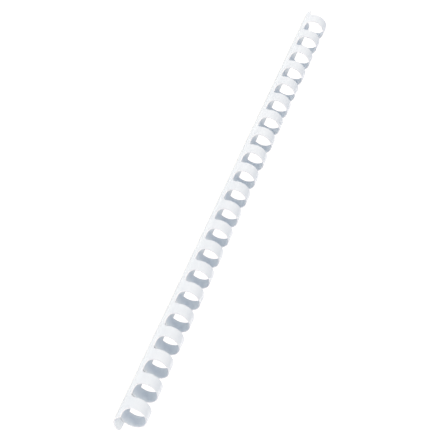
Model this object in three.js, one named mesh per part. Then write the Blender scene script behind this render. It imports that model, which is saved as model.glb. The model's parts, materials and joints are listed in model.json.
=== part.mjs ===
// Plastic binding comb, 12.5 mm, 21 rings, for the long edge of A4 sheets.
//
// The comb is one die-cut strip of PVC, curled by heat. A spine runs the full length. A finger leaves one
// long edge of the spine at every punched hole and curls over into a ring. The spine is curled a little wider
// than the rings, so that the tips of the fingers tuck in behind its free edge. The plastic flexes where a
// ring leaves the spine and again at the ring's far shoulder, just past the crown, so each ring is made here
// in two pieces, bow and tip, with a narrow break at each flex line.
//
// Millimetres. X runs along the comb, Z is up and the spine lies underneath. The origin is the middle of
// the spine's underside. Angles go round the comb's axis from the middle of the spine, up over the side
// with the ring roots, across the crown and down the other side.

import * as THREE from 'three';

// Driving dimensions.
const RING_COUNT = 21;
const RING_PITCH = 14.2875;
const WALL = 0.5;
const FINGER_WIDTH = 6.1;
const BREAK_WIDTH = 0.3;
// The spine runs this far past the half slots at its two ends.
const END_MARGIN = 1;

// Outer radii. The spine's wall lies outside the fingers' tips, and narrows to the rings' radius on the side
// where the fingers leave it.
const RING_RADIUS = 6.3;
const TIP_CLEARANCE = 0.15;
const SPINE_RADIUS = RING_RADIUS + TIP_CLEARANCE + WALL;
const NARROWING_START_ANGLE = 7.5;
const NARROWING_END_ANGLE = 60;

// The spine's free edge and the flex lines, as angles round the axis.
const FREE_EDGE_ANGLE = -57.7;
const ROOT_FLEX_ANGLE = 42.5;
const SHOULDER_FLEX_ANGLE = 217.5;

// A slot ends at the spine in a rounded square: a superellipse this deep, in degrees round the axis.
const SLOT_END_ANGLE = 46;
const SLOT_END_DEPTH = 40;
const SLOT_END_EXPONENT = 3.15;
// Corners of the rounded end before the facets take over, as shares of its depth.
const SLOT_END_CORNERS = [0, 0.03, 0.1];

// A finger ends past the middle of the spine, with its two corners cut off.
const TIP_ANGLE = 367.5;
const TIP_WIDTH = 3.2;
const TIP_CORNER_ANGLE = 15;

// The curve is faceted in steps of this angle, with a facet centred on the middle of the spine.
const FACET_ANGLE = 15;

const LENGTH = RING_COUNT * RING_PITCH + 2 * END_MARGIN;
const SLOT_WIDTH = RING_PITCH - FINGER_WIDTH;
const HALF_BREAK_ANGLE = THREE.MathUtils.radToDeg(BREAK_WIDTH / 2 / RING_RADIUS);
// Facets touch the true circle at their middles, so their corners lie a little outside it.
const CORNER_FACTOR = 1 / Math.cos(THREE.MathUtils.degToRad(FACET_ANGLE / 2));

function plastic(color) {
  return new THREE.MeshStandardMaterial({ color, roughness: 0.42, metalness: 0 });
}

// Outer radius of the comb's wall at an angle.
function outerRadius(angle) {
  const narrowed = THREE.MathUtils.smoothstep(angle, NARROWING_START_ANGLE, NARROWING_END_ANGLE);
  return THREE.MathUtils.lerp(SPINE_RADIUS, RING_RADIUS, narrowed);
}

// Width of a ring at an angle: nearly the whole pitch at the spine, then the finger's own width.
function ringWidth(angle) {
  const intoSlot = THREE.MathUtils.clamp((angle - SLOT_END_ANGLE) / SLOT_END_DEPTH, 0, 1);
  const opened = (1 - (1 - intoSlot) ** SLOT_END_EXPONENT) ** (1 / SLOT_END_EXPONENT);
  return RING_PITCH - Math.max(BREAK_WIDTH, SLOT_WIDTH * opened);
}

// The finger keeps its width to just short of its end.
function tipWidth(angle) {
  return angle === TIP_ANGLE ? TIP_WIDTH : FINGER_WIDTH;
}

// Facet corners strictly between two angles.
function facetCorners(from, to) {
  const corners = [];
  const first = (Math.floor(from / FACET_ANGLE) + 0.5) * FACET_ANGLE;
  for (let angle = first; angle < to; angle += FACET_ANGLE) {
    if (angle > from) corners.push(angle);
  }
  return corners;
}

// A flat blank of the wall's thickness, curled round the axis through the given angles. The blank's local
// X stays along the comb, its Y becomes the radius and its Z becomes the angle, from the last one back to
// the first so that the faces still point out.
function curl(angles, widthAt) {
  const geometry = new THREE.BoxGeometry(1, 1, 1, 1, 1, angles.length - 1);
  const position = geometry.attributes.position;
  for (let i = 0; i < position.count; i += 1) {
    const station = Math.round((0.5 - position.getZ(i)) * (angles.length - 1));
    const angle = angles[station];
    const depth = position.getY(i) > 0 ? 0 : WALL;
    const radius = (outerRadius(angle) - depth) * CORNER_FACTOR;
    const turn = THREE.MathUtils.degToRad(angle);
    position.setXYZ(i, position.getX(i) * widthAt(angle), -radius * Math.sin(turn), -radius * Math.cos(turn));
  }
  geometry.computeVertexNormals();
  return geometry;
}

function spineGeometry() {
  const start = FREE_EDGE_ANGLE;
  const end = ROOT_FLEX_ANGLE - HALF_BREAK_ANGLE;
  return curl([start, ...facetCorners(start, end), end], () => LENGTH);
}

// From the root flex line, up past the flared ends of the slots, over the crown and to the far shoulder.
function bowGeometry() {
  const start = ROOT_FLEX_ANGLE + HALF_BREAK_ANGLE;
  const end = SHOULDER_FLEX_ANGLE - HALF_BREAK_ANGLE;
  const slotEnd = SLOT_END_CORNERS.map((share) => SLOT_END_ANGLE + share * SLOT_END_DEPTH);
  const facetsFrom = slotEnd.at(-1) + FACET_ANGLE / 2;
  return curl([start, ...slotEnd, ...facetCorners(facetsFrom, end), end], ringWidth);
}

// From the shoulder down the far side and under the spine to the tip.
function tipGeometry() {
  const start = SHOULDER_FLEX_ANGLE + HALF_BREAK_ANGLE;
  const cornerCut = TIP_ANGLE - TIP_CORNER_ANGLE;
  const facets = facetCorners(start, cornerCut - FACET_ANGLE / 2);
  return curl([start, ...facets, cornerCut, TIP_ANGLE], tipWidth);
}

function namedMesh(name, geometry, material) {
  const mesh = new THREE.Mesh(geometry, material);
  mesh.name = name;
  return mesh;
}

const comb = new THREE.Group();
comb.position.z = SPINE_RADIUS;
comb.add(namedMesh('spine', spineGeometry(), plastic(0xf2f5f8)));

for (let n = 1; n <= RING_COUNT; n += 1) {
  const ring = new THREE.Group();
  const number = String(n).padStart(2, '0');
  ring.position.x = (n - (RING_COUNT + 1) / 2) * RING_PITCH;
  ring.add(namedMesh(`ring_${number}_bow`, bowGeometry(), plastic(0xeff2f5)));
  ring.add(namedMesh(`ring_${number}_tip`, tipGeometry(), plastic(0xe8ecf1)));
  comb.add(ring);
}

export default comb;
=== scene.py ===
import json
import math

import bmesh
import bpy
from mathutils import Matrix, Vector

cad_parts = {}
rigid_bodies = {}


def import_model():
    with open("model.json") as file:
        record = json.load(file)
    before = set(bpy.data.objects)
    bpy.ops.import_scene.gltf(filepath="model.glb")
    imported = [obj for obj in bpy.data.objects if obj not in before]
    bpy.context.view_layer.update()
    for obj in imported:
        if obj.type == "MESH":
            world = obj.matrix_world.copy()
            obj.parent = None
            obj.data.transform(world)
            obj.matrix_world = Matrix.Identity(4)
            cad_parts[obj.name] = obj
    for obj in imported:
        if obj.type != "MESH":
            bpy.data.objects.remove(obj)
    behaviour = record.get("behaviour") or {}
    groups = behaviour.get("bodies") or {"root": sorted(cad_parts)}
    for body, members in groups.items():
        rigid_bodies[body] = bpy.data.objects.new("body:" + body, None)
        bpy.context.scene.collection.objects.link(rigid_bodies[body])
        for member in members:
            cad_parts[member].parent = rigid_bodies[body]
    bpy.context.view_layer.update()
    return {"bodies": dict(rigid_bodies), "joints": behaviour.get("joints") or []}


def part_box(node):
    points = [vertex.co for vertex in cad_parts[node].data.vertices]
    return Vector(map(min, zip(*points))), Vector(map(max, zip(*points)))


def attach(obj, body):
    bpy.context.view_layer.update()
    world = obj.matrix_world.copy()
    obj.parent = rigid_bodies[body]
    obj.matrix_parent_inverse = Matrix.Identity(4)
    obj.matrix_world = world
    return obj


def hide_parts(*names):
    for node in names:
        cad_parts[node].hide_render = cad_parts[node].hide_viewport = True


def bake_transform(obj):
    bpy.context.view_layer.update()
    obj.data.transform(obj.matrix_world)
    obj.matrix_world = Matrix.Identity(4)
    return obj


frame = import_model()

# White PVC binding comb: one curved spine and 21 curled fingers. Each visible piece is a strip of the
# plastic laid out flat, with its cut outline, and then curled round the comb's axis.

MM = 0.001

# ---------------------------------------------------------------------------
# Sizes in millimetres, worked out from the frame where it gives them.

JOINTS = {joint["name"]: joint for joint in frame["joints"]}
RINGS = sorted(body[:-len("_bow")] for body in frame["bodies"] if body.endswith("_bow"))
RING_X = {ring: JOINTS[ring + "_root_flex"]["pos_m"][0] / MM for ring in RINGS}
PITCH = (RING_X[RINGS[-1]] - RING_X[RINGS[0]]) / (len(RINGS) - 1)
HALF_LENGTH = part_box("spine")[1].x / MM
END_MARGIN = HALF_LENGTH - len(RINGS) * PITCH / 2
RING_RADIUS = -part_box(RINGS[0] + "_bow")[0].y / MM
AXIS_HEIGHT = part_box(RINGS[0] + "_bow")[1].z / MM - RING_RADIUS
SPINE_RADIUS = AXIS_HEIGHT
FINGER = (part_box(RINGS[0] + "_tip")[1].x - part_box(RINGS[0] + "_tip")[0].x) / MM
WALL = 0.5

# Angles round the axis, in degrees from the middle of the spine, as in the CAD model. A slot's rounded end
# is a superellipse with the exponent given here.
FREE_EDGE = -57.7
SLOT_END = 46.0
SLOT_DEPTH = 40.0
SLOT_EXPONENT = 3.15
TIP_END = 367.5
NARROW_FROM, NARROW_TO = 7.5, 60.0

# The seams between the visible pieces, as angles. They lie outside the bends.
ROOT_SEAM = 33.0
BOW_SEAM = 165.0

# Cut edges are slightly rounded, with a narrow band of the face beside the rounding so that the face
# shades flat. A seam has a still narrower band. The corners of the outline have larger radii.
EDGE_ROUND = 0.07
EDGE_SUPPORT = 0.12
SEAM_BAND = 0.02
ROOT_CORNER = 0.9
FREE_CORNER = 2.0
TIP_CORNER = 1.8

# Fineness of the curled mesh: steps in degrees, then numbers of steps. A slot's points crowd towards the
# middle of its end, by this power.
ARC_STEP = 3.0
SEAM_STEP = 0.15
SLOT_STEPS = 24
CORNER_STEPS = 8
SLOT_CROWDING = 2.2


def arc_mm(angle):
    return math.radians(angle) * RING_RADIUS


def smooth(value, low, high):
    t = min(1.0, max(0.0, (value - low) / (high - low)))
    return t * t * (3 - 2 * t)


def outer_radius(angle):
    """The spine lies outside the fingers' tips, and narrows to the rings' radius at their roots."""
    return SPINE_RADIUS + (RING_RADIUS - SPINE_RADIUS) * smooth(angle, NARROW_FROM, NARROW_TO)


# ---------------------------------------------------------------------------
# Outlines. A side is a list of edge points (x, s, inward x, inward s, cut): x runs along the comb, s is
# the distance round it, and cut is 1 where the edge is a real cut edge and 0 where the plastic goes on
# in the next piece.


def mirrored(side):
    return [(-x, s, -inward_x, inward_s, cut) for x, s, inward_x, inward_s, cut in side]


def arc_stations(start, end):
    """Distances from one angle to another, with a short step at a seam at each end."""
    count = max(2, round((end - start) / ARC_STEP))
    inner = [start + (end - start) * i / count for i in range(1, count)]
    return [arc_mm(a) for a in [start, start + SEAM_STEP, *inner, end - SEAM_STEP, end]]


def slot_end_point(t):
    """A point of the slot's rounded end, from its middle (t = 0) to its straight side (t = 1)."""
    half, depth = (PITCH - FINGER) / 2, arc_mm(SLOT_DEPTH)
    turn = math.pi / 2 * t ** SLOT_CROWDING
    sine, cosine = max(math.sin(turn), 0.0), max(math.cos(turn), 0.0)
    across = half * sine ** (2 / SLOT_EXPONENT)
    along = depth * cosine ** (2 / SLOT_EXPONENT)
    slope_x = (across / half) ** (SLOT_EXPONENT - 1) / half
    slope_s = (along / depth) ** (SLOT_EXPONENT - 1) / depth
    size = math.hypot(slope_x, slope_s)
    point_s = arc_mm(SLOT_END + SLOT_DEPTH) - along
    return PITCH / 2 - across, point_s, -slope_x / size, -slope_s / size, 1.0


def root_side(at_comb_end):
    """One side of a ring's flared root, from the seam on the spine to the finger's straight side."""
    start, slot = arc_mm(ROOT_SEAM), arc_mm(SLOT_END)
    edge = PITCH / 2 + (END_MARGIN if at_comb_end else 0.0)
    free = 1.0 if at_comb_end else 0.0
    turn_from = slot - ROOT_CORNER
    side = [(edge, s, -1.0, 0.0, free) for s in (start, start + arc_mm(SEAM_STEP))]
    if not at_comb_end:
        side.append((edge, slot - 2 * (EDGE_ROUND + EDGE_SUPPORT), -1.0, 0.0, 0.0))
    else:
        side.append((edge, turn_from - EDGE_SUPPORT, -1.0, 0.0, 1.0))
    for i in range(SLOT_STEPS + 1):
        x, s, inward_x, inward_s, cut = slot_end_point(i / SLOT_STEPS)
        if at_comb_end and PITCH / 2 - x < ROOT_CORNER:
            turn = math.pi / 2 * (PITCH / 2 - x) / ROOT_CORNER
            x = edge - ROOT_CORNER * (1 - math.cos(turn))
            s = turn_from + ROOT_CORNER * math.sin(turn)
            inward_x, inward_s = -math.cos(turn), -math.sin(turn)
        side.append((x, s, inward_x, inward_s, cut))
    return side


def straight_side(stations, half_width):
    return [(half_width, s, -1.0, 0.0, 1.0) for s in stations]


def rounded_end(half_width, end, radius, direction):
    """The quarter turn at a free end, as far as where the end runs straight across."""
    side = []
    for i in range(CORNER_STEPS + 1):
        turn = math.pi / 2 * i / CORNER_STEPS
        x = half_width - radius * (1 - math.cos(turn))
        s = end - direction * radius * (1 - math.sin(turn))
        side.append((x, s, -math.cos(turn), -direction * math.sin(turn), 1.0))
    return side


# The wall's section at an edge, from the outer face round the cut to the inner face: how far in from the
# outline, and how deep below the outer face. ROUND_MIDDLE is how far the middle of a rounding lies from the
# face and from the cut.
ROUND_MIDDLE = EDGE_ROUND * (1 - math.sqrt(0.5))
SECTION = [
    (EDGE_ROUND + EDGE_SUPPORT, 0.0),
    (EDGE_ROUND, 0.0),
    (ROUND_MIDDLE, ROUND_MIDDLE),
    (0.0, EDGE_ROUND),
    (0.0, WALL - EDGE_ROUND),
    (ROUND_MIDDLE, WALL - ROUND_MIDDLE),
    (EDGE_ROUND, WALL),
    (EDGE_ROUND + EDGE_SUPPORT, WALL),
]
CUT_FACE = (2, 3, 4, 5)


def curled_point(x, s, depth, centre_x):
    angle = s / RING_RADIUS
    radius = outer_radius(math.degrees(angle)) - depth
    return (
        (centre_x + x) * MM,
        -radius * math.sin(angle) * MM,
        (AXIS_HEIGHT - radius * math.cos(angle)) * MM,
    )


def curled_strip(name, left, right, centre_x, material):
    """A closed strip of plastic between two outlines that have the same number of points."""
    points, on_cut, on_sheet = [], [], []
    loop_size = 2 * len(SECTION)
    for sides in zip(right, left):
        loop = []
        for x, s, inward_x, inward_s, cut in sides:
            row = []
            for k, (inset, depth) in enumerate(SECTION):
                seam_band = SEAM_BAND if k in (0, len(SECTION) - 1) else 0.0
                shift = inset if cut else seam_band
                flat = (x + inward_x * shift, s + inward_s * shift, depth)
                row.append((curled_point(*flat, centre_x), float(cut and k in CUT_FACE), flat))
            loop.append(row)
        for point, cut_value, (x, s, depth) in loop[0] + loop[1][::-1]:
            points.append(point)
            on_cut.append(cut_value)
            on_sheet.extend((centre_x + x, s, depth))
    faces = []
    for i in range(len(left) - 1):
        for k in range(loop_size):
            a, b = i * loop_size + k, i * loop_size + (k + 1) % loop_size
            faces.append((a, b, b + loop_size, a + loop_size))
    for first in (0, (len(left) - 1) * loop_size):
        for k in range(len(SECTION) - 1):
            faces.append((first + k, first + k + 1, first + loop_size - 2 - k, first + loop_size - 1 - k))
    mesh = bpy.data.meshes.new(name)
    mesh.from_pydata(points, [], faces)
    mesh.validate()
    work = bmesh.new()
    work.from_mesh(mesh)
    bmesh.ops.recalc_face_normals(work, faces=work.faces)
    work.to_mesh(mesh)
    work.free()
    mesh.polygons.foreach_set("use_smooth", [True] * len(mesh.polygons))
    attribute = mesh.attributes.new("cut_edge", "FLOAT", "POINT")
    attribute.data.foreach_set("value", on_cut)
    attribute = mesh.attributes.new("sheet", "FLOAT_VECTOR", "POINT")
    attribute.data.foreach_set("vector", on_sheet)
    mesh.materials.append(material)
    piece = bpy.data.objects.new(name, mesh)
    bpy.context.scene.collection.objects.link(piece)
    return piece


# ---------------------------------------------------------------------------
# Material: calendered white PVC sheet. Its patterns follow the flat sheet, so they stay with the plastic
# where it curls and flexes. The "sheet" attribute holds the place on the sheet, in millimetres.

PVC_MEAN = (0.73, 0.785, 0.825)
# The cut edges' colour is much lighter than the sheet: a painted highlight for the light that the thin
# edges catch.
CUT_EDGE_PAINTED_HIGHLIGHT = (0.90, 0.91, 0.92, 1)
PVC_REFRACTION = 1.53


def shade(factor, warm=0.0):
    """The plastic's mean colour, lighter or darker, and a little warmer or cooler."""
    red, green, blue = PVC_MEAN
    return red * factor * (1 + warm), green * factor, blue * factor * (1 - warm), 1


class Shading:
    """Short forms for adding nodes to one material."""

    def __init__(self, name):
        self.material = bpy.data.materials.new(name)
        self.material.use_nodes = True
        self.tree = self.material.node_tree
        self.shader = self.tree.nodes["Principled BSDF"]

    def node(self, kind, **settings):
        node = self.tree.nodes.new(kind)
        for key, value in settings.items():
            setattr(node, key, value)
        return node

    def link(self, source, target):
        self.tree.links.new(source, target)

    def attribute(self, name, output):
        return self.node("ShaderNodeAttribute", attribute_name=name).outputs[output]

    def stretched(self, place, scale):
        """Sheet coordinates scaled differently along the comb, round it and through the wall."""
        mapping = self.node("ShaderNodeMapping")
        mapping.inputs["Scale"].default_value = scale
        self.link(place, mapping.inputs["Vector"])
        return mapping.outputs["Vector"]

    def noise(self, place, scale, detail, roughness=0.5):
        noise = self.node("ShaderNodeTexNoise")
        noise.inputs["Scale"].default_value = scale
        noise.inputs["Detail"].default_value = detail
        noise.inputs["Roughness"].default_value = roughness
        self.link(place, noise.inputs["Vector"])
        return noise.outputs["Fac"]

    def ramp(self, value, low, high, to_low=0.0, to_high=1.0):
        ramp = self.node("ShaderNodeMapRange", interpolation_type="SMOOTHSTEP")
        ramp.inputs["From Min"].default_value = low
        ramp.inputs["From Max"].default_value = high
        ramp.inputs["To Min"].default_value = to_low
        ramp.inputs["To Max"].default_value = to_high
        self.link(value, ramp.inputs["Value"])
        return ramp.outputs["Result"]

    def mix(self, factor, first, second):
        mix = self.node("ShaderNodeMix", data_type="RGBA")
        self.link(factor, mix.inputs["Factor"])
        for socket, colour in ((mix.inputs["A"], first), (mix.inputs["B"], second)):
            if isinstance(colour, tuple):
                socket.default_value = colour
            else:
                self.link(colour, socket)
        return mix.outputs["Result"]

    def math(self, operation, first, second):
        node = self.node("ShaderNodeMath", operation=operation)
        for socket, value in zip(node.inputs, (first, second)):
            if isinstance(value, float):
                socket.default_value = value
            else:
                self.link(value, socket)
        return node.outputs["Value"]

    def bump(self, height, distance, strength, below=None):
        bump = self.node("ShaderNodeBump")
        bump.inputs["Distance"].default_value = distance
        bump.inputs["Strength"].default_value = strength
        self.link(height, bump.inputs["Height"])
        if below:
            self.link(below, bump.inputs["Normal"])
        return bump.outputs["Normal"]


def pvc_material():
    pvc = Shading("white_pvc")
    shader = pvc.shader
    shader.inputs["IOR"].default_value = PVC_REFRACTION
    sheet = pvc.attribute("sheet", "Vector")
    cut = pvc.attribute("cut_edge", "Fac")

    # Colour: slow drifts in the pigment, faint draw lines along the comb, pale marks at scuffs, and a
    # painted highlight on the cut edges.
    clouds = pvc.noise(sheet, scale=0.045, detail=3.0)
    along_comb = pvc.stretched(sheet, (0.02, 1.0, 1.0))
    draw_lines = pvc.noise(along_comb, scale=1.6, detail=3.0, roughness=0.6)
    drift = pvc.ramp(clouds, low=0.3, high=0.7)
    colour = pvc.mix(drift, shade(0.98, warm=-0.006), shade(1.02, warm=0.004))
    lined = pvc.ramp(draw_lines, low=0.35, high=0.65, to_high=0.5)
    colour = pvc.mix(lined, colour, shade(1.02))
    scuffs = pvc.noise(pvc.stretched(sheet, (0.12, 1.0, 1.0)), scale=2.4, detail=4.0, roughness=0.7)
    marks = pvc.ramp(scuffs, low=0.62, high=0.72)
    scuffed = pvc.math("MULTIPLY", marks, pvc.ramp(clouds, low=0.45, high=0.6))
    colour = pvc.mix(pvc.math("MULTIPLY", scuffed, 0.6), colour, shade(1.08))
    # The cut edges take the lighter colour, a painted highlight.
    colour = pvc.mix(cut, colour, CUT_EDGE_PAINTED_HIGHLIGHT)
    pvc.link(colour, shader.inputs["Base Color"])

    # Gloss: a satin sheet, duller along its draw lines, at scuffs and on the sheared edges.
    rough = pvc.ramp(draw_lines, low=0.3, high=0.7, to_low=0.40, to_high=0.47)
    rough = pvc.math("ADD", rough, pvc.math("MULTIPLY", scuffed, 0.12))
    rough = pvc.math("ADD", rough, pvc.math("MULTIPLY", cut, 0.18))
    pvc.link(rough, shader.inputs["Roughness"])

    # Surface: fine grain from the calender rolls, draw lines, and the shear marks across the cut edge.
    # A slow wave in the sheet lies under them.
    grain = pvc.noise(sheet, scale=5.0, detail=3.0, roughness=0.65)
    shear = pvc.noise(pvc.stretched(sheet, (1.0, 1.0, 0.1)), scale=7.0, detail=2.0)
    wave = pvc.noise(pvc.stretched(sheet, (0.25, 1.0, 1.0)), scale=0.35, detail=1.0)
    sheared = pvc.math("MULTIPLY", shear, cut)
    normal = pvc.bump(wave, distance=0.04 * MM, strength=0.5)
    normal = pvc.bump(draw_lines, distance=0.02 * MM, strength=0.8, below=normal)
    normal = pvc.bump(grain, distance=0.06 * MM, strength=0.8, below=normal)
    normal = pvc.bump(sheared, distance=0.03 * MM, strength=0.7, below=normal)
    pvc.link(normal, shader.inputs["Normal"])
    return pvc.material


# ---------------------------------------------------------------------------
# Pieces.

PVC = pvc_material()


def make_spine():
    start = arc_mm(FREE_EDGE)
    corner = rounded_end(HALF_LENGTH, start, FREE_CORNER, -1)[::-1]
    free_from = FREE_EDGE + math.degrees(FREE_CORNER / RING_RADIUS)
    side = corner + straight_side(arc_stations(free_from, ROOT_SEAM)[1:], HALF_LENGTH)
    spine = curled_strip("spine_strip", mirrored(side), side, 0.0, PVC)
    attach(spine, "spine")
    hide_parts("spine")
    return spine


def make_ring(ring):
    centre = RING_X[ring]
    finger = straight_side(arc_stations(SLOT_END + SLOT_DEPTH, BOW_SEAM)[1:], FINGER / 2)
    left = mirrored(root_side(ring == RINGS[0]) + finger)
    right = root_side(ring == RINGS[-1]) + finger
    root = curled_strip(ring + "_root_half", left, right, centre, PVC)
    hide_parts(ring + "_bow")

    end_from = TIP_END - math.degrees(TIP_CORNER / RING_RADIUS)
    side = straight_side(arc_stations(BOW_SEAM, end_from)[:-1], FINGER / 2)
    side += rounded_end(FINGER / 2, arc_mm(TIP_END), TIP_CORNER, 1)
    tuck = curled_strip(ring + "_tuck_half", mirrored(side), side, centre, PVC)
    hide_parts(ring + "_tip")

    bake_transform(root)
    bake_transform(tuck)
    return root, tuck


pieces = [make_spine()]
for ring_name in RINGS:
    pieces.extend(make_ring(ring_name))


# ---------------------------------------------------------------------------
# Floor, light and camera.

# Light levels for red, green and blue. The room light is cool and the studio lights are warm, so the
# outside of the plastic is near white and the shaded inside of the rings is bluish. These levels and the
# camera's numbers further down come from fits, with small corrections.
FLOOR_GLOW = (0.472, 0.441, 0.417)
ROOM_LIGHT = (0.270, 0.328, 0.449)
KEY_LIGHT = (0.527, 0.461, 0.383)
FILL_LIGHT = (0.609, 0.518, 0.399)
BACK_LIGHT = (0.290, 0.265, 0.230)
BACKDROP_LEVEL = 1.1

# The lamps: how wide each looks from the comb, in degrees, and the strength of a lamp at level 1.
SOFTNESS = 26.0
LAMP_STRENGTH = 2

# The floor: its width and how far it lies below the comb, in metres, and how much light it reflects.
FLOOR_WIDTH = 40
FLOOR_DROP = 0.0001
FLOOR_TONE = 0.8

# The camera: its place in millimetres, its direction, its roll in degrees, its sensor and lens in
# millimetres, and the nearest and farthest it sees, in metres.
CAMERA_PLACE = Vector((528.7, -530.07, 104.11))
CAMERA_DIRECTION = Vector((-0.6865, 0.7147, -0.1338))
CAMERA_ROLL = 107.7
SENSOR_WIDTH = 36.0
LENS = 126.3
CLIP_START, CLIP_END = 0.01, 20


def level_and_colour(light):
    level = max(light)
    return level, [part / level for part in light]


def make_floor():
    bpy.ops.mesh.primitive_plane_add(size=FLOOR_WIDTH, location=(0, 0, -FLOOR_DROP))
    floor = bpy.context.object
    floor.name = "floor"
    material = bpy.data.materials.new("pale_floor")
    material.use_nodes = True
    shader = material.node_tree.nodes["Principled BSDF"]
    shader.inputs["Base Color"].default_value = (FLOOR_TONE, FLOOR_TONE, FLOOR_TONE, 1)
    shader.inputs["Roughness"].default_value = 1.0
    shader.inputs["Specular IOR Level"].default_value = 0.0
    glow, colour = level_and_colour(FLOOR_GLOW)
    shader.inputs["Emission Color"].default_value = (*colour, 1)
    shader.inputs["Emission Strength"].default_value = glow
    floor.data.materials.append(material)


def make_world():
    """Cool room light all round, and a plain white backdrop that only the camera sees."""
    world = bpy.data.worlds.new("studio")
    bpy.context.scene.world = world
    world.use_nodes = True
    nodes, links = world.node_tree.nodes, world.node_tree.links
    nodes.clear()
    output = nodes.new("ShaderNodeOutputWorld")
    path = nodes.new("ShaderNodeLightPath")
    mix = nodes.new("ShaderNodeMixShader")
    room = nodes.new("ShaderNodeBackground")
    level, colour = level_and_colour(ROOM_LIGHT)
    room.inputs["Color"].default_value = (*colour, 1)
    room.inputs["Strength"].default_value = level
    backdrop = nodes.new("ShaderNodeBackground")
    backdrop.inputs["Color"].default_value = (1, 1, 1, 1)
    backdrop.inputs["Strength"].default_value = BACKDROP_LEVEL
    links.new(path.outputs["Is Camera Ray"], mix.inputs["Fac"])
    links.new(room.outputs["Background"], mix.inputs[1])
    links.new(backdrop.outputs["Background"], mix.inputs[2])
    links.new(mix.outputs["Shader"], output.inputs["Surface"])


def soft_light(name, azimuth, elevation, light):
    """A large, distant soft light, placed by its direction as seen from the comb, in degrees."""
    level, colour = level_and_colour(light)
    data = bpy.data.lights.new(name, "SUN")
    data.angle = math.radians(SOFTNESS)
    data.energy = LAMP_STRENGTH * level
    data.color = colour
    lamp = bpy.data.objects.new(name, data)
    bpy.context.scene.collection.objects.link(lamp)
    across = math.cos(math.radians(elevation))
    turn = math.radians(azimuth)
    towards = Vector((across * math.cos(turn), across * math.sin(turn), math.sin(math.radians(elevation))))
    lamp.location = towards
    lamp.rotation_mode = "QUATERNION"
    lamp.rotation_quaternion = towards.to_track_quat("Z", "Y")


def make_camera():
    """Looks across the comb from its near end, turned so that the spine is on the picture's left."""
    data = bpy.data.cameras.new("camera")
    data.sensor_width = SENSOR_WIDTH
    data.lens = LENS
    camera = bpy.data.objects.new("camera", data)
    bpy.context.scene.collection.objects.link(camera)
    forward = CAMERA_DIRECTION.normalized()
    across = forward.cross(Vector((0, 0, 1))).normalized()
    above = across.cross(forward)
    roll = math.radians(CAMERA_ROLL)
    right = across * math.cos(roll) + above * math.sin(roll)
    up = right.cross(forward)
    turn = Matrix((right, up, -forward)).transposed().to_4x4()
    camera.matrix_world = Matrix.Translation(CAMERA_PLACE * MM) @ turn
    data.clip_start, data.clip_end = CLIP_START, CLIP_END
    bpy.context.scene.camera = camera


make_floor()
make_world()
soft_light("key", -45, 55, KEY_LIGHT)
soft_light("fill", -90, 30, FILL_LIGHT)
soft_light("back near", 45, 30, BACK_LIGHT)
soft_light("back far", 135, 30, BACK_LIGHT)
make_camera()
bpy.context.scene.view_settings.view_transform = "Standard"
